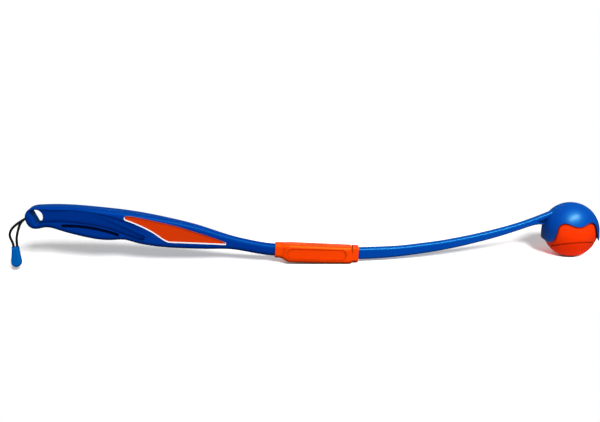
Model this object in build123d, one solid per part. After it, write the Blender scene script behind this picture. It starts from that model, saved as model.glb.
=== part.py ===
from build123d import *
import math
import os

# Dog ball thrower: a curved handle with a hanging hole, a two-part coupling, and a bowed arm that ends in a scalloped
# cup round a rubber ball. It stands upright on the coupling and the ball. Millimetres, X from the handle's end to the
# cup, Z up, and the curve lies in the plane Y = 0.

# Overall
LENGTH = 677.4
OVERRUN = 5.0

# Ball and cup
BALL_D = 63.5
BALL_WALL = 6.5
BALL_GAP = 0.3
BAND_OFFSET = 17.9
BAND_GROOVE = 0.9
CUP_WALL = 1.7
CUP_TIP_WALL = 0.7

# Coupling between the two halves: an inner tube and the grip moulded over it, both on an axis that falls to the cup
COUPLING_X = -1.0
COUPLING_Z = 15.1
COUPLING_TILT = 5.0
COUPLING_LENGTH = 99.0
BORE_HEIGHT = 10.8
BORE_WIDTH = 9.8
BORE_CORNER = 1.6
TUBE_WALL = 1.4
COLLAR_LENGTH = 7.0
COLLAR_HEIGHT = 18.4
COLLAR_WIDTH = 16.4
COLLAR_CORNER = 3.2
GRIP_WIDTH = 20.4
GRIP_START = -39.6
GRIP_SEAM = 0.5
GRIP_NECK_WIDTH = 15.6
GRIP_NECK_TOP = 8.0
GRIP_NECK_BOTTOM = 9.6
GRIP_TOP = 9.1
GRIP_BOTTOM = 14.0
GRIP_BOTTOM_RISE = 1.8
GRIP_CORNER = 5.0
GRIP_BEND = 9.0
GRIP_CROWN = 1.6
GRIP_HEEL = 6.5
GRIP_END_SLANT = 4.2
FINGER_PAD_LENGTH = 70.0
FINGER_PAD_HEIGHT = 13.4
FINGER_PAD_DEPTH = 1.0
FINGER_PAD_DROP = 1.9
FINGER_PAD_TILT = 1.5
RIB_COUNT = 9
RIB_PITCH = 3.1
RIB_WIDTH = 1.3
RIB_REACH = 7.0
RIB_RISE = 0.5
FIXED_FIT = 0.05
SLIDING_FIT = 0.2

# Tension cord, its two eyes and the pins that hold them
TENSION_CORD_D = 4.0
CORD_BORE_D = 6.0
EYE_D = 5.6
EYE_LENGTH = 9.0
PIN_D = 3.0
PIN_FIT = 0.05
PIN_INSET = 11.5
MEETING_GAP = 2.0

# Handle
HANDLE_CREST = 80.0
HANDLE_NECK_DROP = 1.5
HANDLE_WIDTH = 25.0
HANDLE_FRONT_WIDTH = 12.4
HANDLE_CORNER = 5.4
HANDLE_WALL = 3.4
HANDLE_PLAN_BEND = 120.0
CORE_WIDTH = 12.4
CORE_FRONT_WIDTH = 5.6
CHANNEL_DEPTH = 3.5
CHANNEL_TILT = 6.0
LEDGE_DEPTH = 1.5
GRIP_SLOT_WIDTH = 3.6
GRIP_SLOT_DEPTH = 4.0
HANG_HOLE_HEIGHT = 15.4
HANG_HOLE_DEPTH = 11.6
HANG_HOLE_TILT = 25.5
HANG_HOLE_CORNER = 1.6
HANG_HOLE_FLARE = 3.2
HANG_HOLE_FLARE_ANGLE = 30.0

# Badge on the near side of the handle
BADGE_LENGTH = 116.0
BADGE_HEIGHT = 34.4
BADGE_X = -224.5
BADGE_Z = 29.4
BADGE_POCKET = 1.4
BADGE_SINK = 0.4
BADGE_RIM_WIDTH = 0.83
BADGE_RIM_LEAN = 0.475
BADGE_RIM_PROUD = 0.35
BADGE_KNEE_ROUND = 6.0
BADGE_TIP_ROUND = 0.4

# Arm
ARM_HEIGHT = 12.9
ARM_WIDTH = 12.0
ARM_TIP_WIDTH = 10.0
ARM_CORNER = 2.6
ARM_SHOULDER_GAP = 0.2
ARM_POCKET_DEPTH = 2.6

# Lanyard at the handle's end: one loop of cord through the end wall, and its pull
LANYARD_D = 3.2
LANYARD_HOLE_FIT = 0.25
LANYARD_RISE = 2.8
LANYARD_REACH = 8.8
LANYARD_LEAD = 8.4
STRAND_OFFSET = 1.75
STOPPER_LENGTH = 8.4
STOPPER_WIDTH = 4.8
STOPPER_DEPTH = 3.4
PLUG_LENGTH = 10.2
PLUG_WIDTH = 6.2
PLUG_DEPTH = 1.8
PULL_TOP_WIDTH = 8.0
PULL_WIDTH = 11.7
PULL_HEIGHT = 24.2
PULL_DEPTH = 8.4
PULL_CORNER = 2.4
PULL_CAP_HEIGHT = 3.0
PULL_ROOM = 6.2
PULL_KNOT_D = 5.8

# Derived places
END_X = -LENGTH / 2
BALL_R = BALL_D / 2
CUP_INNER_R = BALL_R + BALL_GAP
CUP_R = CUP_INNER_R + CUP_WALL
BALL_X = LENGTH / 2 - CUP_R
BALL_Z = BALL_R
HALF_COUPLING = COUPLING_LENGTH / 2
COUPLING = Location((COUPLING_X, 0, COUPLING_Z), (0, COUPLING_TILT, 0))
AXIS = Vector(math.cos(math.radians(COUPLING_TILT)), 0, -math.sin(math.radians(COUPLING_TILT)))
HANDLE_SPAN = COUPLING_X - HALF_COUPLING * AXIS.X - END_X
ARM_START = COUPLING_X + HALF_COUPLING * AXIS.X
ARM_SPAN = BALL_X - ARM_START
REAR_PIN = -HALF_COUPLING + PIN_INSET
FRONT_PIN = HALF_COUPLING - PIN_INSET

# Outlines of the handle, as shares of its length and of its crest height
HANDLE_TOP_SHARES = [
    (0.000, 0.850), (0.004, 0.910), (0.024, 0.977), (0.060, 0.998), (0.135, 0.995), (0.298, 0.935),
    (0.457, 0.845), (0.578, 0.746), (0.696, 0.626), (0.817, 0.471), (0.897, 0.393),
]
HANDLE_LOW_SHARES = [
    (0.897, 0.206), (0.814, 0.264), (0.734, 0.280), (0.651, 0.300), (0.571, 0.326), (0.488, 0.373),
    (0.433, 0.425), (0.391, 0.472), (0.343, 0.474), (0.287, 0.490), (0.208, 0.557), (0.132, 0.645),
    (0.080, 0.692), (0.036, 0.674), (0.014, 0.713), (0.003, 0.786),
]
CHANNEL_TOP_SHARES = [
    (0.045, 0.965), (0.079, 0.958), (0.163, 0.944), (0.249, 0.887), (0.332, 0.776), (0.398, 0.663), (0.459, 0.548),
]
CHANNEL_LOW_SHARES = [
    (0.457, 0.468), (0.415, 0.527), (0.374, 0.589), (0.331, 0.653), (0.246, 0.725), (0.152, 0.770), (0.100, 0.774),
]
LEDGE_TOP_SHARES = [
    (0.045, 0.972), (0.079, 0.970), (0.204, 0.946), (0.305, 0.879), (0.401, 0.759), (0.459, 0.618),
]
CHANNEL_NOSE_SHARE = (0.474, 0.496)
HANG_HOLE_SHARE = (0.034, 0.838)
SLOT_SHARES = [(0.152, 0.720), (0.263, 0.676), (0.367, 0.564)]
TAPER_START_SHARE = 0.384
TAPER_END_SHARE = 0.840
CORE_OUTLINE_SHARE = 0.05
CORE_START_SHARE = 0.110
CORE_END_SHARE = 0.865

# Outlines of the badge, as shares of its length and height
BADGE_TOP_SHARES = [
    (0.025, 1.086), (0.062, 1.074), (0.121, 1.035), (0.208, 0.961), (0.306, 0.875), (0.404, 0.782), (0.512, 0.674),
    (0.689, 0.461), (0.867, 0.233), (1.006, 0.034),
]
BADGE_LOW_SHARES = [
    (1.005, -0.051), (0.432, 0.113), (0.385, 0.193), (0.299, 0.418), (0.203, 0.626), (0.116, 0.780), (0.059, 0.871),
    (0.015, 0.929),
]
BADGE_NOSE_SHARE = (-0.001, 1.003)

# Outlines of the arm, as shares of its run from the coupling to the ball's centre and of that centre's height
ARM_TOP_SHARES = [
    (0.000, 0.556), (0.080, 0.560), (0.198, 0.580), (0.292, 0.644), (0.387, 0.726), (0.481, 0.843), (0.575, 0.985),
    (0.669, 1.154), (0.763, 1.357), (0.857, 1.612), (0.930, 1.850),
]
ARM_LOW_SHARES = [
    (0.866, 1.250), (0.836, 1.258), (0.800, 1.190), (0.763, 1.097), (0.669, 0.870), (0.575, 0.680),
    (0.481, 0.518), (0.387, 0.385), (0.292, 0.284), (0.198, 0.204), (0.080, 0.152), (0.000, 0.148),
]
ARM_POCKET_SHARES = [(0.836, 1.395), (0.905, 1.600), (0.905, 1.320), (0.868, 1.325)]

# Outline of the cup's rim from a finger to the near lobe, as shares of the cup's radius from the ball's centre
RIM_SHARES = [
    (1.0, -0.245), (0.955, -0.305), (0.895, -0.335), (0.845, -0.285), (0.765, -0.115), (0.710, 0.100),
    (0.620, 0.350), (0.450, 0.430), (0.225, 0.365), (0.0, 0.317),
]
RIM_TIP_SHARE = -0.335
# Direction of the axis of the ball's raised band
BAND_AXIS_SHARE = (-0.030, 0.330, 0.940)

# Outline of the grip, as shares of half the coupling's length
GRIP_NECK_SHARE = 0.86
GRIP_RAMP_SHARE = 0.67
GRIP_END_SHARE = 0.84

# Outline of the pull, as shares of half its width and of its height below its top
PULL_SIDE_SHARES = [(0.745, 0.250), (0.890, 0.500), (1.000, 0.730), (0.870, 0.885)]

# The lanyard's two strands, from the handle's end to the pull
STRANDS = {
    "lanyard_strand_left": [
        (-356.6, -1.9, 53.9), (-360.0, -1.9, 45.2), (-356.0, -1.5, 36.3), (-356.0, -1.5, 31.6),
    ],
    "lanyard_strand_right": [
        (-350.1, 1.7, 51.2), (-352.5, 1.6, 42.1), (-352.7, 1.5, 36.6), (-352.7, 1.5, 31.6),
    ],
}
ARC_SHARE = 0.45
PULL_X = -354.3
PULL_TOP_Z = 31.6


def along(share):
    """The point of the handle at a share of its length and of its crest height."""
    return Vector(END_X + share[0] * HANDLE_SPAN, 0, share[1] * HANDLE_CREST)


def arm_point(share):
    """The point of the arm at a share of its run and of the height of the ball's centre."""
    return Vector(ARM_START + share[0] * ARM_SPAN, 0, share[1] * BALL_Z)


def in_coupling(x, z):
    """A point given along and across the coupling's axis, in the part's own frame."""
    return (COUPLING * Location((x, 0, z))).position


def curve(points, start, end):
    """A smooth curve through points, with a direction at each end."""
    return Spline(points, tangents=[start, end], tangent_scalars=(1, 1))


def round_corner(face, corner, radius):
    """A face with its vertex next to a corner rounded."""
    return fillet(face.vertices().sort_by_distance(corner)[0], radius)


def drawn_in(points, axis, amount):
    """The corners of a closed outline drawn in by an amount; it runs clockwise about the axis that points away."""
    moved = []
    for before, corner, after in zip(points[-1:] + points[:-1], points, points[1:] + points[:1]):
        first = (corner - before).normalized()
        second = (after - corner).normalized()
        inward = (first.cross(axis) * -1 + second.cross(axis) * -1).normalized()
        share = inward.dot(first.cross(axis) * -1)
        moved.append(corner + inward * (amount / share))
    return moved


def slab(outline, low, high):
    """A prism on an outline in the XZ plane, between two values of Y."""
    face = make_face(outline)
    return extrude(face.moved(Location((0, low, 0))), amount=high - low, dir=(0, 1, 0))


def both_sides(shape):
    """A shape and its mirror image across the plane of the curve."""
    return shape + mirror(shape, about=Plane.XZ)


def rounded_bar(start, end, height, width, corner):
    """A bar with rounded long edges along X, centred on the axis."""
    section = Plane.YZ * RectangleRounded(width, height, corner)
    return Pos(start, 0, 0) * extrude(section, amount=end - start, dir=(1, 0, 0))


def plan_prism(stations, bend, low, high):
    """A prism on a plan view, symmetric about Y = 0, from stations of X and half width."""
    points = [Vector(x, y, 0) for x, y in stations]
    points += [Vector(x, -y, 0) for x, y in reversed(stations)]
    face = make_face(Polyline(*points, close=True))
    inner = [v for v in face.vertices() if stations[0][0] + OVERRUN < v.X < stations[-1][0] - OVERRUN]
    if inner:
        face = fillet(inner, bend)
    return extrude(face.moved(Location((0, 0, low))), amount=high - low, dir=(0, 0, 1))


def long_edges(body, apart):
    """The edges that run along a body on its two sides, further than a distance from the plane Y = 0."""
    return [e for e in body.edges() if abs(e.center().Y) > apart and e.geom_type != GeomType.LINE]


def cross_pin(place, length, diameter):
    """A pin across the coupling at a place along its axis."""
    return COUPLING * Pos(place, 0, 0) * Rot(90, 0, 0) * Cylinder(diameter / 2, length)


def cord_bore(start, end):
    """The bore for the tension cord along the coupling's axis."""
    return COUPLING * Pos((start + end) / 2, 0, 0) * Rot(0, 90, 0) * Cylinder(CORD_BORE_D / 2, end - start)


# Handle

def handle_outline():
    """The handle's side view, closed at the coupling by a line square to the coupling's axis."""
    top_end = in_coupling(-HALF_COUPLING, ARM_HEIGHT / 2)
    low_end = in_coupling(-HALF_COUPLING, -ARM_HEIGHT / 2 - HANDLE_NECK_DROP)
    top = curve([along(s) for s in HANDLE_TOP_SHARES] + [top_end], (0, 0, 1), AXIS)
    low = curve([low_end] + [along(s) for s in HANDLE_LOW_SHARES] + [along(HANDLE_TOP_SHARES[0])], -AXIS, (0, 0, 1))
    return [top, Line(top_end, low_end), low]


def handle_plan(start, end, wide, narrow):
    """A prism on a plan view of the handle's length with its straight taper."""
    stations = [
        (start, wide / 2),
        (along((TAPER_START_SHARE, 0)).X, wide / 2),
        (along((TAPER_END_SHARE, 0)).X, narrow / 2),
        (end, narrow / 2),
    ]
    return plan_prism(stations, HANDLE_PLAN_BEND, -OVERRUN, HANDLE_CREST + OVERRUN)


def end_wall():
    """The middle of the hanging hole's flat, the direction out of the handle's end, and the one up the flat."""
    tilt = math.radians(HANG_HOLE_TILT)
    out = Vector(-math.cos(tilt), 0, -math.sin(tilt))
    return along(HANG_HOLE_SHARE), out, Vector(out.Z, 0, -out.X)


def hang_hole():
    """The D-shaped hole for hanging, flat towards the handle's end."""
    half = HANG_HOLE_HEIGHT / 2
    face = make_face([Line((0, half), (0, -half)), ThreePointArc((0, -half), (HANG_HOLE_DEPTH, 0), (0, half))])
    face = fillet(face.vertices(), HANG_HOLE_CORNER)
    middle, out, up = end_wall()
    plane = Plane(origin=middle, x_dir=-out, z_dir=(0, -1, 0))
    hole = extrude(plane * face, amount=HANDLE_WIDTH, both=True)
    flare = extrude(face, amount=HANG_HOLE_FLARE, taper=-HANG_HOLE_FLARE_ANGLE)
    return hole + both_sides(plane * Pos(0, 0, HANDLE_WIDTH / 2 - HANG_HOLE_FLARE) * flare)


def channel(tops, depth, tilt):
    """The channel from the hanging hole to its round nose, on the near side. A tilt makes its lower edge deeper."""
    middle, out, up = end_wall()
    high = middle + up * (HANG_HOLE_HEIGHT / 2)
    deep = middle - up * (HANG_HOLE_HEIGHT / 2)
    upper = [high] + [along(s) for s in tops]
    lower = [along(s) for s in CHANNEL_LOW_SHARES] + [deep]
    end = along(CHANNEL_NOSE_SHARE)
    nose = ThreePointArc(upper[-1], end, lower[0])
    outline = [Spline(upper), nose, Spline(lower), Line(deep, high)]
    run = (end - middle).normalized()
    down = Vector(run.Z, 0, -run.X)
    lean = math.radians(tilt)
    face = Vector(0, -math.cos(lean), 0) + down * math.sin(lean)
    floor = Plane(origin=middle + Vector(0, depth - HANDLE_WIDTH / 2, 0), x_dir=run, z_dir=face)
    above = floor * Box(LENGTH, LENGTH, HANDLE_WIDTH, align=(Align.CENTER, Align.CENTER, Align.MIN))
    return slab(outline, -HANDLE_WIDTH / 2 - OVERRUN, 0) & above


def finger_slot():
    """The narrow bowed slot above the finger bulge, on the near side."""
    path = ThreePointArc(*[(along(s).X, along(s).Z) for s in SLOT_SHARES])
    face = Plane.XZ * SlotArc(path, GRIP_SLOT_WIDTH)
    start = -HANDLE_WIDTH / 2 - OVERRUN
    return extrude(face.moved(Location((0, start, 0))), amount=OVERRUN + GRIP_SLOT_DEPTH, dir=(0, 1, 0))


def handle_core():
    """The hollow inside the handle."""
    tops = [along(s) for s in HANDLE_TOP_SHARES if s[0] >= CORE_OUTLINE_SHARE]
    lows = [along(s) for s in HANDLE_LOW_SHARES if s[0] >= CORE_OUTLINE_SHARE]
    points = drawn_in(tops + lows, Vector(0, 1, 0), HANDLE_WALL)
    tops = points[:len(tops)]
    lows = points[len(tops):]
    outline = [Spline(tops), Line(tops[-1], lows[0]), Spline(lows), Line(lows[-1], tops[0])]
    side = slab(outline, -HANDLE_WIDTH, HANDLE_WIDTH)
    start = along((CORE_START_SHARE, 0)).X
    end = along((CORE_END_SHARE, 0)).X
    return side & handle_plan(start, end, CORE_WIDTH, CORE_FRONT_WIDTH)


def lanyard_passage():
    """The plane across the lanyard's way through the end wall, facing out of the handle."""
    middle, out, up = end_wall()
    return Plane(origin=middle + up * LANYARD_RISE, x_dir=(0, 1, 0), z_dir=out)


def lanyard_seat(length, width, depth):
    """A stepped seat in the hanging hole's flat, with room all round."""
    seat = SlotOverall(length + 2 * FIXED_FIT, width + 2 * FIXED_FIT)
    return Pos(0, 0, -OVERRUN) * extrude(seat, amount=OVERRUN + depth)


def handle_body():
    side = slab(handle_outline(), -HANDLE_WIDTH, HANDLE_WIDTH)
    body = side & handle_plan(END_X - HANDLE_WIDTH, COUPLING_X, HANDLE_WIDTH, HANDLE_FRONT_WIDTH)
    body = fillet(long_edges(body, HANDLE_FRONT_WIDTH / 4), HANDLE_CORNER)
    body -= hang_hole()
    body -= both_sides(channel(LEDGE_TOP_SHARES, LEDGE_DEPTH, 0))
    body -= both_sides(channel(CHANNEL_TOP_SHARES, CHANNEL_DEPTH, CHANNEL_TILT))
    body -= both_sides(finger_slot())
    body -= badge_layer(badge_outline(), -BADGE_POCKET, OVERRUN)
    body -= handle_core()
    passage = lanyard_passage()
    hole = SlotOverall(2 * STRAND_OFFSET + LANYARD_D + 2 * LANYARD_HOLE_FIT, LANYARD_D + 2 * LANYARD_HOLE_FIT)
    body -= passage * extrude(hole, amount=HANDLE_WIDTH)
    body -= passage * lanyard_seat(STOPPER_LENGTH, STOPPER_WIDTH, PLUG_DEPTH + STOPPER_DEPTH)
    body -= passage * lanyard_seat(PLUG_LENGTH, PLUG_WIDTH, PLUG_DEPTH)
    spigot = rounded_bar(
        -HALF_COUPLING, -MEETING_GAP / 2, BORE_HEIGHT - 2 * FIXED_FIT, BORE_WIDTH - 2 * FIXED_FIT, BORE_CORNER
    )
    body += COUPLING * spigot
    body -= cord_bore(REAR_PIN - EYE_LENGTH / 2 - MEETING_GAP, 0)
    body -= cross_pin(REAR_PIN, HANDLE_WIDTH, PIN_D + 2 * PIN_FIT)
    return body


# Badges

def badge_plane():
    """The near side of the handle's taper, with its origin at the badge's low left corner."""
    start = along((TAPER_START_SHARE, 0)).X
    end = along((TAPER_END_SHARE, 0)).X
    narrowing = (HANDLE_WIDTH - HANDLE_FRONT_WIDTH) / 2
    run = Vector(end - start, narrowing, 0).normalized()
    y = -HANDLE_WIDTH / 2 + narrowing * (BADGE_X - start) / (end - start)
    return Plane(origin=(BADGE_X, y, BADGE_Z), x_dir=run, z_dir=run.cross(Vector(0, 0, 1)))


def badge_face(inset, lean):
    """The badge's outline, drawn in by an inset and moved up by a lean."""
    points = [Vector(x * BADGE_LENGTH, y * BADGE_HEIGHT) for x, y in BADGE_TOP_SHARES + BADGE_LOW_SHARES]
    points.append(Vector(BADGE_NOSE_SHARE[0] * BADGE_LENGTH, BADGE_NOSE_SHARE[1] * BADGE_HEIGHT))
    points = [point + Vector(0, lean) for point in drawn_in(points, Vector(0, 0, -1), inset)]
    tops = points[:len(BADGE_TOP_SHARES)]
    lows = points[len(BADGE_TOP_SHARES):-1]
    nose = ThreePointArc(lows[-1], points[-1], tops[0])
    face = make_face([Spline(tops), Line(tops[-1], lows[0]), Line(lows[0], lows[1]), Spline(lows[1:]), nose])
    face = round_corner(face, lows[1], BADGE_KNEE_ROUND)
    face = round_corner(face, tops[-1], BADGE_TIP_ROUND)
    return round_corner(face, lows[0], BADGE_TIP_ROUND)


def badge_outline():
    return badge_face(0, 0)


def badge_window():
    """The inside of the badge's rim, which is thinner along the top than below."""
    return badge_face(BADGE_RIM_WIDTH, BADGE_RIM_LEAN)


def badge_layer(face, low, high):
    """A layer of the badge between two heights above the handle's side."""
    return badge_plane() * Pos(0, 0, low) * extrude(face, amount=high - low)


def badge_plate():
    return badge_layer(badge_window(), -BADGE_POCKET, -BADGE_SINK)


def badge_rim():
    return badge_layer(badge_outline() - badge_window(), -BADGE_POCKET, BADGE_RIM_PROUD)


# Coupling

def before(place):
    """All that lies before a place along the coupling."""
    return Pos(place, 0, 0) * Box(LENGTH, LENGTH, LENGTH, align=(Align.MAX, Align.CENTER, Align.CENTER))


def tube_shape():
    """The coupling tube without its bore: a bar with a collar at the arm's end and a neck at the handle's."""
    main = rounded_bar(
        -HALF_COUPLING, HALF_COUPLING, BORE_HEIGHT + 2 * TUBE_WALL, BORE_WIDTH + 2 * TUBE_WALL, BORE_CORNER + TUBE_WALL
    )
    collar = rounded_bar(
        HALF_COUPLING - COLLAR_LENGTH, HALF_COUPLING, COLLAR_HEIGHT, COLLAR_WIDTH, COLLAR_CORNER
    )
    seam = rounded_bar(
        GRIP_START - GRIP_SEAM,
        GRIP_START + 2 * GRIP_SEAM,
        GRIP_NECK_TOP + GRIP_NECK_BOTTOM - 2 * GRIP_SEAM,
        GRIP_NECK_WIDTH - 2 * GRIP_SEAM,
        COLLAR_CORNER,
    )
    seam = Pos(0, 0, (GRIP_NECK_TOP - GRIP_NECK_BOTTOM) / 2) * seam
    return main + collar + seam + (grip_blank() & before(GRIP_START))


def coupling_tube():
    bore = rounded_bar(-HALF_COUPLING - OVERRUN, HALF_COUPLING + OVERRUN, BORE_HEIGHT, BORE_WIDTH, BORE_CORNER)
    body = COUPLING * (tube_shape() - bore)
    return body - cross_pin(REAR_PIN, HANDLE_WIDTH, PIN_D + 2 * PIN_FIT)


def grip_end():
    return GRIP_END_SHARE * HALF_COUPLING + GRIP_END_SLANT


def upright(edge):
    """Whether an edge stands square to the plane of the plan view."""
    box = edge.bounding_box()
    return max(box.size.X, box.size.Y) < FIXED_FIT


def grip_blank():
    """The grip's outer form along the coupling's axis, with its neck towards the handle."""
    neck = -GRIP_NECK_SHARE * HALF_COUPLING
    ramp = -GRIP_RAMP_SHARE * HALF_COUPLING
    crown = Vector(GRIP_END_SHARE * HALF_COUPLING, 0, GRIP_TOP)
    heel = Vector(grip_end(), 0, -GRIP_BOTTOM + GRIP_BOTTOM_RISE)
    rise = Vector(neck, 0, -GRIP_NECK_BOTTOM)
    belly = Vector(ramp, 0, -GRIP_BOTTOM)
    start_top = Vector(-HALF_COUPLING, 0, GRIP_NECK_TOP)
    start_low = Vector(-HALF_COUPLING, 0, -GRIP_NECK_BOTTOM)
    face = make_face(Polyline(start_top, crown, heel, belly, rise, start_low, close=True))
    for corner, radius in ((belly, GRIP_BEND), (rise, GRIP_BEND), (heel, GRIP_HEEL), (crown, GRIP_CROWN)):
        face = round_corner(face, corner, radius)
    side = extrude(face.moved(Location((0, -GRIP_WIDTH, 0))), amount=2 * GRIP_WIDTH, dir=(0, 1, 0))
    stations = [
        (-HALF_COUPLING, GRIP_NECK_WIDTH / 2),
        (neck, GRIP_NECK_WIDTH / 2),
        (ramp, GRIP_WIDTH / 2),
        (HALF_COUPLING, GRIP_WIDTH / 2),
    ]
    plan = plan_prism(stations, GRIP_BEND, -2 * GRIP_BOTTOM, 2 * GRIP_BOTTOM)
    body = side & plan
    rounds = [e for e in body.edges() if abs(e.center().Y) > GRIP_NECK_WIDTH / 4 and not upright(e)]
    return fillet([e for e in rounds if e.center().X > FIXED_FIT - HALF_COUPLING], GRIP_CORNER)


def finger_pad():
    """The long shallow oval on the grip's near side."""
    face = Plane.XZ * Pos(0, -FINGER_PAD_DROP) * Rot(0, 0, FINGER_PAD_TILT) * SlotOverall(
        FINGER_PAD_LENGTH, FINGER_PAD_HEIGHT
    )
    start = -GRIP_WIDTH / 2 - OVERRUN
    return extrude(face.moved(Location((0, start, 0))), amount=OVERRUN + FINGER_PAD_DEPTH, dir=(0, 1, 0))


def top_ribs():
    """The short cross ribs on the grip's back."""
    slope = (GRIP_TOP - GRIP_NECK_TOP) / (HALF_COUPLING * (1 + GRIP_END_SHARE))
    ribs = []
    for count in range(RIB_COUNT):
        x = (count - (RIB_COUNT - 1) / 2) * RIB_PITCH
        top = GRIP_NECK_TOP + slope * (x + HALF_COUPLING) + RIB_RISE
        rib = RectangleRounded(RIB_WIDTH, RIB_REACH, RIB_WIDTH / 3)
        ribs.append(Pos(x, 0, top - TUBE_WALL) * extrude(rib, amount=TUBE_WALL))
    return ribs


def coupling_grip():
    body = grip_blank() - before(GRIP_START + GRIP_SEAM)
    body -= both_sides(finger_pad())
    for rib in top_ribs():
        body += rib
    body -= tube_shape()
    body = COUPLING * body
    floor = Box(LENGTH, LENGTH, OVERRUN, align=(Align.CENTER, Align.CENTER, Align.MAX))
    return body - floor


# Tension cord and pins

def coupling_pin():
    return cross_pin(REAR_PIN, BORE_WIDTH + 2 * TUBE_WALL - 2 * FIXED_FIT, PIN_D)


def arm_pin():
    return cross_pin(FRONT_PIN, BORE_WIDTH - 4 * SLIDING_FIT, PIN_D)


def cord_eye(place):
    """A crimped eye round a pin, at a place along the coupling."""
    barrel = Rot(0, 90, 0) * Cylinder(EYE_D / 2, EYE_LENGTH)
    barrel = chamfer(barrel.edges().filter_by(GeomType.CIRCLE), EYE_D / 8)
    return COUPLING * Pos(place, 0, 0) * barrel - cross_pin(place, HANDLE_WIDTH, PIN_D + 2 * PIN_FIT)


def tension_cord():
    start = REAR_PIN + EYE_LENGTH / 2
    end = FRONT_PIN - EYE_LENGTH / 2
    return COUPLING * Pos((start + end) / 2, 0, 0) * Rot(0, 90, 0) * Cylinder(TENSION_CORD_D / 2, end - start)


# Arm, cup and ball

def throwing_arm():
    start = HALF_COUPLING + ARM_SHOULDER_GAP
    tops = [arm_point(s) for s in ARM_TOP_SHARES]
    lows = [arm_point(s) for s in ARM_LOW_SHARES]
    outline = [Spline(tops), Line(tops[-1], lows[0]), Spline(lows), Line(lows[-1], tops[0])]
    side = slab(outline, -ARM_WIDTH, ARM_WIDTH) & COUPLING * Pos(start, 0, 0) * Box(
        LENGTH, LENGTH, LENGTH, align=(Align.MIN, Align.CENTER, Align.CENTER)
    )
    stations = [(COUPLING_X, ARM_WIDTH / 2), (BALL_X, ARM_TIP_WIDTH / 2)]
    body = side & plan_prism(stations, HANDLE_PLAN_BEND, -OVERRUN, LENGTH)
    body = fillet(long_edges(body, ARM_TIP_WIDTH / 4), ARM_CORNER)
    pocket = Polyline(*[arm_point(s) for s in ARM_POCKET_SHARES], close=True)
    body -= both_sides(slab(pocket, -ARM_WIDTH, -ARM_TIP_WIDTH / 2 + ARM_POCKET_DEPTH))
    body -= Pos(BALL_X, 0, BALL_Z) * Sphere(CUP_R)
    tenon = rounded_bar(
        MEETING_GAP / 2, start, BORE_HEIGHT - 2 * SLIDING_FIT, BORE_WIDTH - 2 * SLIDING_FIT, BORE_CORNER
    )
    body += COUPLING * tenon
    body -= cord_bore(0, FRONT_PIN + EYE_LENGTH / 2 + MEETING_GAP)
    return body - cross_pin(FRONT_PIN, HANDLE_WIDTH, PIN_D + 2 * PIN_FIT)


def ball_cup():
    low = RIM_SHARES[0][1] * CUP_R
    tip = RIM_TIP_SHARE * CUP_R
    bottom = tip - OVERRUN
    profile = [
        ThreePointArc(
            (0, 0, CUP_R), (CUP_R * math.sin(math.pi / 4), 0, CUP_R * math.cos(math.pi / 4)), (CUP_R, 0, 0)
        ),
        Spline([(CUP_R, 0, 0), (CUP_INNER_R + CUP_TIP_WALL, 0, tip)], tangents=[(0, 0, -1), (-1, 0, -1)]),
        Line((CUP_INNER_R + CUP_TIP_WALL, 0, tip), (CUP_INNER_R + CUP_TIP_WALL, 0, bottom)),
        Line((CUP_INNER_R + CUP_TIP_WALL, 0, bottom), (CUP_INNER_R, 0, bottom)),
        Line((CUP_INNER_R, 0, bottom), (CUP_INNER_R, 0, 0)),
        ThreePointArc(
            (CUP_INNER_R, 0, 0),
            (CUP_INNER_R * math.sin(math.pi / 4), 0, CUP_INNER_R * math.cos(math.pi / 4)),
            (0, 0, CUP_INNER_R),
        ),
        Line((0, 0, CUP_INNER_R), (0, 0, CUP_R)),
    ]
    body = revolve(make_face(profile), axis=Axis.Z)
    right = [Vector(x * CUP_R, 0, z * CUP_R) for x, z in RIM_SHARES]
    left = [Vector(-v.X, 0, v.Z) for v in reversed(right[:-1])]
    rim = Spline(right + left)
    wide = CUP_R + OVERRUN
    under = bottom - OVERRUN
    fence = Polyline((-CUP_R, 0, low), (-wide, 0, low), (-wide, 0, under), (wide, 0, under), (wide, 0, low), right[0])
    body -= slab([rim, fence], -wide, wide)
    return Pos(BALL_X, 0, BALL_Z) * body


def ball():
    body = Sphere(BALL_R) - Sphere(BALL_R - BALL_WALL)
    band = Plane(origin=(0, 0, 0), z_dir=BAND_AXIS_SHARE)
    ring = math.sqrt(BALL_R ** 2 - BAND_OFFSET ** 2)
    for side in (1, -1):
        body -= band * Pos(0, 0, side * BAND_OFFSET) * Torus(ring, BAND_GROOVE)
    return Pos(BALL_X, 0, BALL_Z) * body


# Lanyard

def tube_radii(points):
    """The radius of the arc at each corner of a cord's route."""
    radii = []
    for before, corner, after in zip(points, points[1:], points[2:]):
        first = corner - before
        second = after - corner
        turn = math.radians(first.get_angle(second))
        radii.append(ARC_SHARE * min(first.length, second.length) / math.tan(turn / 2))
    return radii


def strand_points(name):
    """A strand's route from the end of its tail, straight out of the passage at first."""
    passage = lanyard_passage()
    across = math.copysign(STRAND_OFFSET, STRANDS[name][0][1])
    start = passage.from_local_coords(Vector(across, 0, LANYARD_REACH))
    lead = passage.from_local_coords(Vector(across, 0, LANYARD_REACH + LANYARD_LEAD))
    return [start, lead] + [Vector(*point) for point in STRANDS[name]]


def strand(name):
    points = strand_points(name)
    radii = tube_radii(points)
    path = FilletPolyline(*points, radius=radii)
    start = Plane(origin=points[0], z_dir=path % 0)
    tube = sweep(start * Circle(LANYARD_D / 2), path=path)
    section = math.pi * LANYARD_D ** 2 / 4
    print(name, "radii", [round(r, 1) for r in radii], "length", round(path.length, 1),
          "volume share", round(tube.volume / (section * path.length), 4))
    return tube


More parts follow.
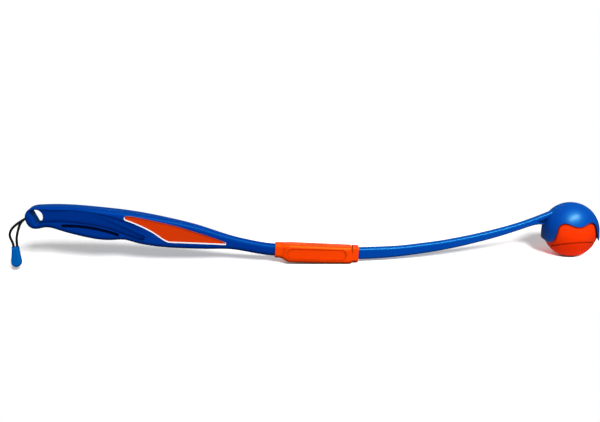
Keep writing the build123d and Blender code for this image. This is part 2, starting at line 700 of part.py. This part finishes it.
def lanyard_stopper():
    """The fused end of the cord in the end wall and the two tails that leave through it."""
    end = extrude(SlotOverall(STOPPER_LENGTH, STOPPER_WIDTH), amount=STOPPER_DEPTH)
    end = chamfer(end.edges().group_by(Axis.Z)[0] + end.edges().group_by(Axis.Z)[-1], STOPPER_WIDTH / 8)
    for side in (1, -1):
        tail = Cylinder(LANYARD_D / 2, LANYARD_REACH - PLUG_DEPTH, align=(Align.CENTER, Align.CENTER, Align.MIN))
        end += Pos(side * STRAND_OFFSET, 0, 0) * tail
    return lanyard_passage() * Pos(0, 0, PLUG_DEPTH) * end


def lanyard_plug():
    """The plug that closes the cord's seat, flush with the hanging hole's flat."""
    return lanyard_passage() * extrude(SlotOverall(PLUG_LENGTH, PLUG_WIDTH), amount=PLUG_DEPTH)


def pull_blank():
    """The pull's teardrop, hanging from its top."""
    half = PULL_WIDTH / 2
    side = [Vector(x * half, 0, -z * PULL_HEIGHT) for x, z in PULL_SIDE_SHARES]
    right = Spline([Vector(PULL_TOP_WIDTH / 2, 0, 0)] + side + [Vector(0, 0, -PULL_HEIGHT)],
                   tangents=[(0, 0, -1), (-1, 0, 0)], tangent_scalars=(1, 1))
    left = mirror(right, about=Plane.YZ)
    top = Line((-PULL_TOP_WIDTH / 2, 0, 0), (PULL_TOP_WIDTH / 2, 0, 0))
    body = slab([right, left, top], -PULL_DEPTH / 2, PULL_DEPTH / 2)
    return fillet(body.edges().filter_by(lambda e: abs(e.center().Y) > PULL_DEPTH / 4), PULL_CORNER)


def knot_place():
    return PULL_HEIGHT - PULL_CAP_HEIGHT - PULL_ROOM


def strand_ends():
    """Where the strands enter the pull, across from its middle."""
    return [(points[-1][0] - PULL_X, points[-1][1]) for points in STRANDS.values()]


def pull_parts():
    """The pull's body with its room for the knot, and the cap that closes it."""
    blank = pull_blank()
    cut = -PULL_HEIGHT + PULL_CAP_HEIGHT
    below = Pos(0, 0, cut) * Box(PULL_HEIGHT, PULL_HEIGHT, PULL_HEIGHT, align=(Align.CENTER, Align.CENTER, Align.MAX))
    room = Pos(0, 0, -knot_place()) * Cylinder(
        PULL_ROOM / 2, PULL_HEIGHT, align=(Align.CENTER, Align.CENTER, Align.MAX)
    )
    body = blank - below - room - Pos(0, 0, -knot_place()) * Sphere(PULL_ROOM / 2)
    for x, y in strand_ends():
        body -= Pos(x, y, 0) * Cylinder(LANYARD_D / 2 + FIXED_FIT, 2 * knot_place())
    cap = blank & below
    place = Pos(PULL_X, 0, PULL_TOP_Z)
    return place * body, place * cap


def pull_knot():
    """The knot inside the pull, with the two cord ends that run up from it."""
    knot = Pos(0, 0, -knot_place()) * Sphere(PULL_KNOT_D / 2)
    for x, y in strand_ends():
        knot += Pos(x, y, 0) * Cylinder(LANYARD_D / 2, knot_place(), align=(Align.CENTER, Align.CENTER, Align.MAX))
    return Pos(PULL_X, 0, PULL_TOP_Z) * knot


def build():
    body, cap = pull_parts()
    parts = {
        "handle_body": handle_body(),
        "badge_plate": badge_plate(),
        "badge_rim": badge_rim(),
        "coupling_tube": coupling_tube(),
        "coupling_grip": coupling_grip(),
        "coupling_pin": coupling_pin(),
        "tension_cord_rear_eye": cord_eye(REAR_PIN),
        "tension_cord": tension_cord(),
        "tension_cord_front_eye": cord_eye(FRONT_PIN),
        "arm_pin": arm_pin(),
        "throwing_arm": throwing_arm(),
        "ball_cup": ball_cup(),
        "ball": ball(),
        "lanyard_stopper": lanyard_stopper(),
        "lanyard_plug": lanyard_plug(),
        "cord_end_body": body,
        "cord_end_cap": cap,
        "cord_end_knot": pull_knot(),
    }
    for name in STRANDS:
        parts[name] = strand(name)
    return parts


if __name__ == "__main__":
    os.makedirs("parts", exist_ok=True)
    for name, shape in build().items():
        export_step(shape, os.path.join("parts", name + ".step"))
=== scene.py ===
import math

import bmesh
import bpy
from mathutils import Matrix, Vector


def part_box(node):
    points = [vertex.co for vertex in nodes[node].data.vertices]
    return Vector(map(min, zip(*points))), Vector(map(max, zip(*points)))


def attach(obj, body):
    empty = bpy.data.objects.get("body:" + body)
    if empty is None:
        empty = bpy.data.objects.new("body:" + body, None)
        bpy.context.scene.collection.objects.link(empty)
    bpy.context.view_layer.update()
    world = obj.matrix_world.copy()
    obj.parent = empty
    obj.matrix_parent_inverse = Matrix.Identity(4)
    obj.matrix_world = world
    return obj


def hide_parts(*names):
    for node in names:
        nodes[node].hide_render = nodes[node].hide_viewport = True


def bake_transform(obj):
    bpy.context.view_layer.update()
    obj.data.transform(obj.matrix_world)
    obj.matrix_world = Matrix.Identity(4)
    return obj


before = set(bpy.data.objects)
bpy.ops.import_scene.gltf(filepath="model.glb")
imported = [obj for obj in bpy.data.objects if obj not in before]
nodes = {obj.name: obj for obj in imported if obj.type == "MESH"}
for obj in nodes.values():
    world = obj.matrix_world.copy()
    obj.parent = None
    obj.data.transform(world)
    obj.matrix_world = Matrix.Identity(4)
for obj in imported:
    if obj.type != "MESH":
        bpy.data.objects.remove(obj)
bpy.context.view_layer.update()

# Places and lengths are in metres. The finishes' colours are screen colours, 0 to 255 per channel. Sheens and
# the colours of floor and world are shares of linear light.

# Camera

AZIMUTH = math.radians(-2.5)
ELEVATION = math.radians(12)
ROLL = math.radians(-1.113)
AIM = Vector((-0.01983, 0, 0.06457))
DISTANCE = 1.0617
SENSOR = 36
LENS = 54
NEAREST = 0.01
FARTHEST = 50


def make_camera():
    reach = math.cos(ELEVATION)
    back = Vector((math.sin(AZIMUTH) * reach, -math.cos(AZIMUTH) * reach, math.sin(ELEVATION)))
    level = Vector((math.cos(AZIMUTH), math.sin(AZIMUTH), 0))
    upward = back.cross(level)
    right = level * math.cos(ROLL) + upward * math.sin(ROLL)
    up = upward * math.cos(ROLL) - level * math.sin(ROLL)
    place = AIM + back * DISTANCE
    data = bpy.data.cameras.new("camera")
    data.sensor_width = SENSOR
    data.lens = LENS
    data.clip_start = NEAREST
    data.clip_end = FARTHEST
    camera = bpy.data.objects.new("camera", data)
    camera.matrix_world = Matrix((
        (right.x, up.x, back.x, place.x),
        (right.y, up.y, back.y, place.y),
        (right.z, up.z, back.z, place.z),
        (0, 0, 0, 1),
    ))
    bpy.context.scene.collection.objects.link(camera)
    bpy.context.scene.camera = camera


# Shader nodes

MIX_FIRST = 6
MIX_SECOND = 7
MIX_RESULT = 2


def add(tree, kind, **settings):
    """A new node in a tree."""
    node = tree.nodes.new(kind)
    for key, value in settings.items():
        setattr(node, key, value)
    return node


def put(tree, value, socket):
    """Links a source to a socket, or sets the socket to a value."""
    if isinstance(value, bpy.types.NodeSocket):
        tree.links.new(value, socket)
    else:
        socket.default_value = value


def sum_of(tree, operation, *values):
    """The result of one operation on values and sources."""
    node = add(tree, "ShaderNodeMath", operation=operation)
    for value, socket in zip(values, node.inputs):
        put(tree, value, socket)
    return node.outputs[0]


def spread(tree, source, start, end, low=0, high=1, **settings):
    """Runs from low to high while the source runs from start to end."""
    node = add(tree, "ShaderNodeMapRange", **settings)
    node.inputs["From Min"].default_value = start
    node.inputs["From Max"].default_value = end
    node.inputs["To Min"].default_value = low
    node.inputs["To Max"].default_value = high
    tree.links.new(source, node.inputs["Value"])
    return node.outputs["Result"]


def mix_colour(tree, share, first, second):
    node = add(tree, "ShaderNodeMix", data_type="RGBA")
    put(tree, share, node.inputs[0])
    put(tree, first, node.inputs[MIX_FIRST])
    put(tree, second, node.inputs[MIX_SECOND])
    return node.outputs[MIX_RESULT]


def mix_shader(tree, share, first, second):
    node = add(tree, "ShaderNodeMixShader")
    for value, socket in zip((share, first, second), node.inputs):
        put(tree, value, socket)
    return node.outputs[0]


# Materials

WHITE = (1, 1, 1, 1)
FLOW_MARKS = 26
MOTTLE = 34
WAVES = 60
RUBBER_WAVES = 70
HANDLING_MARKS = 90
RUBBER_MARKS = 120
DRAWN_MARKS = 700
RUBBER_SKIN = 1700
DRAWN_GRAIN = 2200
MOULD_GRAIN = 2600
FIBRES = 3800
FUZZ = 6500
ALONG_FLOW = (0.35, 1, 1)
ALONG_PIN = (0.1, 1, 1)
CAVITY_SAMPLES = 12
NOISE_LOW = 0.25
NOISE_HIGH = 0.75
MOULD_RELIEF = 0.00001
WAVE_RELIEF = 0.00006
RUBBER_WAVE_RELIEF = 0.00005
DRAWN_RELIEF = 0.000008
FUZZ_RELIEF = 0.00003
BADGE_FALL = 0.304
BADGE_TIP = 0.002
BADGE_BLEND = 0.001


def linear(r, g, b):
    """A screen colour in linear light."""
    def one(c):
        c = c / 255
        return c / 12.92 if c <= 0.04045 else ((c + 0.055) / 1.055) ** 2.4
    return (one(r), one(g), one(b), 1)


class Finish:
    """A material with its nodes close at hand."""

    def __init__(self, name, colour, roughness, **sockets):
        self.material = bpy.data.materials.new(name)
        self.material.use_nodes = True
        self.tree = self.material.node_tree
        self.shader = self.tree.nodes["Principled BSDF"]
        self.shader.inputs["Base Color"].default_value = linear(*colour)
        self.shader.inputs["Roughness"].default_value = roughness
        for socket, value in sockets.items():
            self.shader.inputs[socket.replace("_", " ")].default_value = value
        self.place = add(self.tree, "ShaderNodeTexCoord").outputs["Object"]

    def noise(self, scale, detail=2, roughness=0.5, stretch=None):
        node = add(self.tree, "ShaderNodeTexNoise")
        node.inputs["Scale"].default_value = scale
        node.inputs["Detail"].default_value = detail
        node.inputs["Roughness"].default_value = roughness
        source = self.place
        if stretch is not None:
            mapping = add(self.tree, "ShaderNodeMapping")
            mapping.inputs["Scale"].default_value = stretch
            self.tree.links.new(source, mapping.inputs["Vector"])
            source = mapping.outputs["Vector"]
        self.tree.links.new(source, node.inputs["Vector"])
        return node.outputs["Fac"]

    def shade(self, source, dark, light):
        """The base colour runs between two colours with a source."""
        colour = mix_colour(self.tree, source, linear(*dark), linear(*light))
        self.tree.links.new(colour, self.shader.inputs["Base Color"])

    def painted_cavity_shade(self, reach, dark, start=0.35, end=0.85):
        """Painted shade: the base colour goes over to a darker one in grooves and corners narrower than the
        reach.
        """
        hidden = add(self.tree, "ShaderNodeAmbientOcclusion", samples=CAVITY_SAMPLES)
        hidden.inputs["Distance"].default_value = reach
        open_share = spread(self.tree, hidden.outputs["AO"], start, end)
        base = self.shader.inputs["Base Color"]
        colour = mix_colour(self.tree, open_share, linear(*dark), base.links[0].from_socket)
        self.tree.links.new(colour, base)

    def rough(self, source, low, high):
        share = spread(self.tree, source, NOISE_LOW, NOISE_HIGH, low, high)
        self.tree.links.new(share, self.shader.inputs["Roughness"])

    def bump(self, source, distance, under=None):
        """Relief of a height in metres, over the relief under it."""
        node = add(self.tree, "ShaderNodeBump")
        node.inputs["Distance"].default_value = distance
        node.inputs["Strength"].default_value = 1
        self.tree.links.new(source, node.inputs["Height"])
        if under is not None:
            self.tree.links.new(under, node.inputs["Normal"])
        self.tree.links.new(node.outputs["Normal"], self.shader.inputs["Normal"])
        return node.outputs["Normal"]


def moulded(name, dark, light, roughness=0.34, gloss=0.35, tint=WHITE, shadow=None, reach=0.006, marks=1.0,
            coat=0.0):
    """Injection-moulded plastic: faint flow marks in its colour, a fine grain, handling marks, and, given a
    shadow colour, painted shade in its grooves and corners.
    """
    finish = Finish(name, light, roughness, IOR=1.5, Specular_IOR_Level=gloss, Specular_Tint=tint,
                    Coat_Weight=coat, Coat_Roughness=0.28)
    finish.shade(finish.noise(FLOW_MARKS, 3, 0.55, ALONG_FLOW), dark, light)
    # Given a shadow colour, painted shade in grooves and corners.
    if shadow is not None:
        finish.painted_cavity_shade(reach, shadow)
    finish.rough(finish.noise(HANDLING_MARKS, 4, 0.6), roughness - 0.05 * marks, roughness + 0.07 * marks)
    fine = finish.bump(finish.noise(MOULD_GRAIN, 2, 0.5), MOULD_RELIEF)
    finish.bump(finish.noise(WAVES, 1, 0.4), WAVE_RELIEF * marks, fine)
    return finish.material


def soft_rubber(name, dark, light, roughness, grain, gloss, tint, glow, bloom, shadow):
    """Soft moulded rubber: matt, with a fine skin, a bloom at its edges, the faintest light through it, and
    painted shade in its grooves and corners.
    """
    finish = Finish(name, light, roughness, IOR=1.48, Specular_IOR_Level=gloss, Specular_Tint=tint,
                    Subsurface_Weight=glow, Subsurface_Scale=0.003, Subsurface_Radius=(1.0, 0.35, 0.12),
                    Sheen_Weight=bloom, Sheen_Roughness=0.45, Sheen_Tint=tint)
    finish.shade(finish.noise(MOTTLE, 3, 0.6), dark, light)
    # Painted shade in grooves and corners.
    finish.painted_cavity_shade(0.005, shadow, 0.45, 0.92)
    finish.rough(finish.noise(RUBBER_MARKS, 4, 0.65), roughness - 0.06, roughness + 0.08)
    fine = finish.bump(finish.noise(RUBBER_SKIN, 3, 0.6), grain)
    finish.bump(finish.noise(RUBBER_WAVES, 1, 0.4), RUBBER_WAVE_RELIEF, fine)
    return finish.material


def outline_finish(name, pale, upper_colour):
    """The badge's raised outline: pale, going over to a second, redder colour along its upper run."""
    finish = Finish(name, pale, 0.4)
    low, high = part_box("badge_rim")
    apart = add(finish.tree, "ShaderNodeSeparateXYZ")
    finish.tree.links.new(finish.place, apart.inputs[0])
    chord = sum_of(finish.tree, "MULTIPLY_ADD", apart.outputs["X"], BADGE_FALL, apart.outputs["Z"])
    level = high[2] - BADGE_TIP + BADGE_FALL * (low[0] + BADGE_TIP)
    finish.shade(spread(finish.tree, chord, level, level + BADGE_BLEND), pale, upper_colour)
    finish.bump(finish.noise(MOULD_GRAIN, 2, 0.5), MOULD_RELIEF)
    return finish.material


def bright_metal(name, colour, roughness):
    finish = Finish(name, colour, roughness, Metallic=1.0)
    finish.rough(finish.noise(DRAWN_MARKS, 3, 0.6, ALONG_PIN), roughness - 0.08, roughness + 0.1)
    finish.bump(finish.noise(DRAWN_GRAIN, 2, 0.5, ALONG_PIN), DRAWN_RELIEF)
    return finish.material


def cord_fabric(name, dark, light):
    """Braided cord, whose weave is in its mesh: fibre colour and sheen."""
    finish = Finish(name, light, 0.75, IOR=1.45, Sheen_Weight=0.25, Sheen_Roughness=0.4)
    finish.shade(finish.noise(FIBRES, 3, 0.7), dark, light)
    finish.bump(finish.noise(FUZZ, 2, 0.6), FUZZ_RELIEF)
    return finish.material


BLUE_SHEEN = (0.04, 0.9, 1, 1)
ORANGE_SHEEN = (1, 0.5, 0.04, 1)

# Each shadow colour below is painted shade in the grooves and corners of its material.
handle_plastic = moulded(
    "handle_blue", (0, 44, 130), (0, 53, 146), 0.4, gloss=0.2, tint=BLUE_SHEEN, shadow=(0, 8, 46), reach=0.01,
)
arm_plastic = moulded(
    "arm_blue", (0, 60, 156), (0, 69, 168), 0.27, gloss=0.8, tint=BLUE_SHEEN, shadow=(0, 12, 56), marks=0.1,
    coat=0.1,
)
cup_plastic = moulded(
    "cup_blue", (0, 54, 154), (0, 62, 166), 0.46, gloss=1.0, tint=BLUE_SHEEN, marks=0.4, coat=0.3,
)
pull_plastic = moulded("pull_blue", (0, 88, 170), (0, 98, 184), 0.3, tint=BLUE_SHEEN)
badge_red = moulded(
    "badge_orange_red", (196, 48, 6), (212, 58, 9), 0.42, tint=ORANGE_SHEEN, shadow=(110, 12, 0), reach=0.003,
)
badge_white = outline_finish("badge_outline_white", (246, 246, 248), (196, 70, 40))
coupling_orange = moulded("coupling_orange", (232, 62, 4), (246, 72, 6), 0.36, tint=ORANGE_SHEEN)
grip_orange = soft_rubber(
    "grip_rubber_orange", (236, 58, 3), (250, 68, 5), roughness=0.4, grain=0.000015, gloss=0.8,
    tint=ORANGE_SHEEN, glow=0.08, bloom=0.3, shadow=(150, 18, 0),
)
ball_rubber = soft_rubber(
    "ball_rubber_orange", (226, 48, 5), (240, 57, 7), roughness=0.55, grain=0.00003, gloss=0.15,
    tint=ORANGE_SHEEN, glow=0.06, bloom=0.0, shadow=(84, 8, 4),
)
cord_black = cord_fabric("cord_black", (2, 2, 4), (14, 14, 18))
elastic_black = cord_fabric("elastic_black", (10, 10, 12), (30, 30, 34))
steel = bright_metal("pin_steel", (196, 198, 202), 0.28)
eye_metal = bright_metal("eye_nickel", (180, 178, 172), 0.34)

FINISHES = {
    "handle_body": handle_plastic,
    "badge_plate": badge_red,
    "badge_rim": badge_white,
    "coupling_tube": coupling_orange,
    "coupling_grip": grip_orange,
    "coupling_pin": steel,
    "tension_cord_rear_eye": eye_metal,
    "tension_cord": elastic_black,
    "tension_cord_front_eye": eye_metal,
    "arm_pin": steel,
    "throwing_arm": arm_plastic,
    "ball_cup": cup_plastic,
    "ball": ball_rubber,
    "lanyard_plug": handle_plastic,
    "lanyard_stopper": cord_black,
    "lanyard_strand_left": cord_black,
    "lanyard_strand_right": cord_black,
    "cord_end_body": pull_plastic,
    "cord_end_cap": pull_plastic,
    "cord_end_knot": cord_black,
}
for name, material in FINISHES.items():
    mesh = nodes[name].data
    mesh.materials.clear()
    mesh.materials.append(material)

# Braided cords

CURVE_STEPS = 48
YARNS = 8
POINTS_PER_YARN = 6
RINGS_PER_DIAMETER = 14
CROSSING_SHARE = 0.6
LANYARD_D = 0.0032
LANYARD_RELIEF = 0.00014
TENSION_D = 0.004
TENSION_RELIEF = 0.00015
STRANDS = {
    "lanyard_strand_left": (0.0448, [
        (-0.33804, -0.00175, 0.06578), (-0.34562, -0.00175, 0.06216), (-0.35660, -0.0019, 0.0539),
        (-0.36000, -0.0019, 0.0452), (-0.35600, -0.0015, 0.0363), (-0.35600, -0.0015, 0.0316),
    ]),
    "lanyard_strand_right": (0.0396, [
        (-0.33804, 0.00175, 0.06578), (-0.34562, 0.00175, 0.06216), (-0.35010, 0.0017, 0.0512),
        (-0.35250, 0.0016, 0.0421), (-0.35270, 0.0015, 0.0366), (-0.35270, 0.0015, 0.0316),
    ]),
}
REAR_EYE = Vector((-0.03437, 0, 0.01802))
FRONT_EYE = Vector((0.03237, 0, 0.01218))


def line_of(name, points):
    """The points along a smooth NURBS line with these control points."""
    data = bpy.data.curves.new(name + "_line", "CURVE")
    data.dimensions = "3D"
    data.resolution_u = CURVE_STEPS
    spline = data.splines.new("NURBS")
    spline.points.add(len(points) - 1)
    for point, place in zip(spline.points, points):
        point.co = (*place, 1)
    spline.order_u = 3
    spline.use_endpoint_u = True
    route = bpy.data.objects.new(name + "_line", data)
    bpy.context.scene.collection.objects.link(route)
    mesh = bpy.data.meshes.new_from_object(route)
    line = [v.co.copy() for v in mesh.vertices]
    bpy.data.objects.remove(route)
    bpy.data.meshes.remove(mesh)
    return line


def evenly(line, step):
    """Points an even step apart along a line, the ends among them."""
    lengths = [0]
    for a, b in zip(line, line[1:]):
        lengths.append(lengths[-1] + (b - a).length)
    count = max(2, round(lengths[-1] / step))
    found = []
    part = 0
    for k in range(count + 1):
        want = lengths[-1] * k / count
        while part < len(line) - 2 and lengths[part + 1] < want:
            part += 1
        share = (want - lengths[part]) / max(lengths[part + 1] - lengths[part], 1e-12)
        found.append(line[part].lerp(line[part + 1], share))
    return found


def directions(points):
    """The direction of a line of points at each of them."""
    last = len(points) - 1
    return [(points[min(k + 1, last)] - points[max(k - 1, 0)]).normalized() for k in range(last + 1)]


def braid_radius(turn, along, radius, lift):
    """High where one yarn runs over another, and low between the yarns."""
    u = YARNS / 2 * turn / math.pi + along * YARNS / 4
    v = YARNS / 2 * turn / math.pi - along * YARNS / 4
    over = math.cos(math.pi * u) * math.cos(math.pi * v)
    yarn = abs(math.sin(math.pi * (u if over > 0 else v)))
    return radius - lift * (1 - CROSSING_SHARE * abs(over)) - lift * (1 - CROSSING_SHARE) * (1 - yarn)


def braid_rings(mesh, line, diameter, lift):
    """Rings of points round a line, as high as the yarns of a braid are there."""
    around = YARNS * POINTS_PER_YARN
    step = diameter / RINGS_PER_DIAMETER
    points = evenly(line, step)
    last = len(points) - 1
    tangents = directions(points)
    side = tangents[0].orthogonal().normalized()
    rings = []
    for k, (point, tangent) in enumerate(zip(points, tangents)):
        side = (side - tangent * side.dot(tangent)).normalized()
        other = tangent.cross(side)
        along = k / last * (step * last) / (diameter * 0.5)
        ring = []
        for j in range(around):
            turn = 2 * math.pi * j / around
            outward = side * math.cos(turn) + other * math.sin(turn)
            ring.append(mesh.verts.new(point + outward * braid_radius(turn, along, diameter / 2, lift)))
        rings.append(ring)
    return rings


def braided(name, line, diameter, lift, material):
    """A tube of braided yarns along a line: over and under pairs of yarns stand out by the lift."""
    mesh = bmesh.new()
    rings = braid_rings(mesh, line, diameter, lift)
    for a, b in zip(rings, rings[1:]):
        for j in range(len(a)):
            mesh.faces.new((a[j], a[(j + 1) % len(a)], b[(j + 1) % len(a)], b[j]))
    mesh.faces.new(list(reversed(rings[0])))
    mesh.faces.new(rings[-1])
    data = bpy.data.meshes.new(name)
    mesh.to_mesh(data)
    mesh.free()
    data.shade_smooth()
    data.materials.append(material)
    piece = bpy.data.objects.new(name, data)
    bpy.context.scene.collection.objects.link(piece)
    return piece


for name, (length, route) in STRANDS.items():
    line = line_of(name, route)
    cord = braided(name + "_braid", line, LANYARD_D, LANYARD_RELIEF, cord_black)
    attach(cord, "handle")
    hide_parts(name)

# The tension cord inside the coupling stretches between its two eyes.
tension = braided("tension_cord_braid", [REAR_EYE, FRONT_EYE], TENSION_D, TENSION_RELIEF, elastic_black)
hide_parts("tension_cord")
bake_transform(tension)

# Floor, backdrop and light

LIGHT_AIM = Vector((0, 0, 0.04))
FLOOR_SIZE = 6
FLOOR_BOUNCE = (0.16, 0.16, 0.18, 1)
BALL_BOUNCE = (1.5, 1.0, 0.7, 1)
BALL_PLACE = (sum(c[0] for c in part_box("ball")) / 2, 0, 0)
BALL_BOUNCE_START = 0.06
BALL_BOUNCE_END = 0.16
PAPER = (4.8, 4.8, 4.8, 1)
PAPER_EDGE = 0.55
SHADOW_DEPTH = 0.75
SHADOW_END = 0.1
SHADOW_SLANT = 0.26
SHADOW_SOFT = 0.04
CONTACT_REACH = 0.03
ROOM_LIGHT = 0.06
MIRRORED_LIGHT = 0.28
MIRRORED_COLOUR = (0.12, 0.8, 1, 1)


def sees_white(tree):
    """One for the rays that find the white background: the camera's, and those through a clear piece."""
    path = add(tree, "ShaderNodeLightPath")
    return sum_of(tree, "ADD", path.outputs["Is Camera Ray"], path.outputs["Is Transmission Ray"])


def thrown_back(tree, place):
    """What the floor throws back on the object: little light, and more of it by the ball."""
    near = add(tree, "ShaderNodeVectorMath", operation="DISTANCE")
    near.inputs[1].default_value = BALL_PLACE
    tree.links.new(place, near.inputs[0])
    share = spread(tree, near.outputs["Value"], BALL_BOUNCE_START, BALL_BOUNCE_END)
    shader = add(tree, "ShaderNodeBsdfDiffuse")
    tree.links.new(mix_colour(tree, share, BALL_BOUNCE, FLOOR_BOUNCE), shader.inputs["Color"])
    return shader.outputs[0]


def shaded_paper(tree):
    """Paper bright enough to be white where it is lit, with soft shadows from the lights and painted dark
    contact shades.
    """
    lit = add(tree, "ShaderNodeBsdfDiffuse")
    lit.inputs["Color"].default_value = PAPER
    # Painted contact shade: the paper's glow dims where the object is close.
    contact = add(tree, "ShaderNodeAmbientOcclusion")
    contact.inputs["Distance"].default_value = CONTACT_REACH
    shaded = add(tree, "ShaderNodeEmission")
    tree.links.new(contact.outputs["AO"], shaded.inputs["Strength"])
    return mix_shader(tree, SHADOW_DEPTH, shaded.outputs[0], lit.outputs[0])


def past_shadow(tree, place):
    """One where the floor is plain white: behind the object's shadow, and far from the object."""
    split = add(tree, "ShaderNodeSeparateXYZ")
    tree.links.new(place, split.inputs[0])
    side = sum_of(tree, "ABSOLUTE", split.outputs["X"])
    depth = sum_of(tree, "ABSOLUTE", split.outputs["Y"])
    slant = sum_of(tree, "MULTIPLY_ADD", side, -SHADOW_SLANT, depth)
    behind = spread(tree, slant, SHADOW_END, SHADOW_END + SHADOW_SOFT, interpolation_type="SMOOTHSTEP")
    away = add(tree, "ShaderNodeVectorMath", operation="LENGTH")
    tree.links.new(place, away.inputs[0])
    far = spread(tree, away.outputs["Value"], PAPER_EDGE, PAPER_EDGE + SHADOW_SOFT)
    return sum_of(tree, "MAXIMUM", behind, far)


def make_floor():
    """A white floor: the camera finds paper with the object's shadow, and it throws little light back."""
    mesh = bmesh.new()
    bmesh.ops.create_grid(mesh, x_segments=1, y_segments=1, size=FLOOR_SIZE)
    data = bpy.data.meshes.new("floor")
    mesh.to_mesh(data)
    mesh.free()
    floor = bpy.data.objects.new("floor", data)
    bpy.context.scene.collection.objects.link(floor)
    material = bpy.data.materials.new("floor_white")
    material.use_nodes = True
    tree = material.node_tree
    tree.nodes.clear()
    out = add(tree, "ShaderNodeOutputMaterial")
    place = add(tree, "ShaderNodeTexCoord").outputs["Object"]
    white = add(tree, "ShaderNodeEmission")
    white.inputs["Strength"].default_value = 1
    sheet = mix_shader(tree, past_shadow(tree, place), shaded_paper(tree), white.outputs[0])
    surface = mix_shader(tree, sees_white(tree), thrown_back(tree, place), sheet)
    tree.links.new(surface, out.inputs["Surface"])
    data.materials.append(material)
    return floor


def background(tree, colour, strength):
    node = add(tree, "ShaderNodeBackground")
    node.inputs["Color"].default_value = colour
    node.inputs["Strength"].default_value = strength
    return node.outputs[0]


def make_world():
    """The camera sees white, and the object gets little light from the room.

    What the plastic mirrors is a dim blue, because white greys its colour wherever it is seen at a low angle.
    """
    world = bpy.data.worlds.new("studio")
    bpy.context.scene.world = world
    world.use_nodes = True
    tree = world.node_tree
    tree.nodes.clear()
    out = add(tree, "ShaderNodeOutputWorld")
    room = background(tree, WHITE, ROOM_LIGHT)
    mirrored = background(tree, MIRRORED_COLOUR, MIRRORED_LIGHT)
    path = add(tree, "ShaderNodeLightPath")
    studio = mix_shader(tree, path.outputs["Is Glossy Ray"], room, mirrored)
    surface = mix_shader(tree, sees_white(tree), studio, background(tree, WHITE, 1))
    tree.links.new(surface, out.inputs["Surface"])


def area_light(name, place, width, height, power, mirrored=True):
    """A soft light that looks at the object. One that isn't mirrored makes no highlights."""
    data = bpy.data.lights.new(name, "AREA")
    data.shape = "RECTANGLE"
    data.size = width
    data.size_y = height
    data.energy = power
    light = bpy.data.objects.new(name, data)
    light.rotation_mode = "QUATERNION"
    light.location = place
    light.rotation_quaternion = (LIGHT_AIM - Vector(place)).to_track_quat("-Z", "Y")
    light.visible_glossy = mirrored
    bpy.context.scene.collection.objects.link(light)
    return light


def spare(light, floor):
    """The light falls on the object alone, so that the floor shows one shadow."""
    apart = bpy.data.collections.new(light.name + "_spares")
    apart.objects.link(floor)
    apart.collection_objects[0].light_linking.link_state = "EXCLUDE"
    light.light_linking.receiver_collection = apart


make_camera()
sweep = make_floor()
make_world()
spare(area_light("key", (0.38, -0.74, 1.48), 1.1, 0.35, 26), sweep)
area_light("front", (0.35, -1.93, 1.05), 0.5, 0.46, 36, mirrored=False)
spare(area_light("back", (0, 1.7, 1.0), 0.9, 0.5, 15, mirrored=False), sweep)
bpy.context.scene.view_settings.view_transform = "Standard"
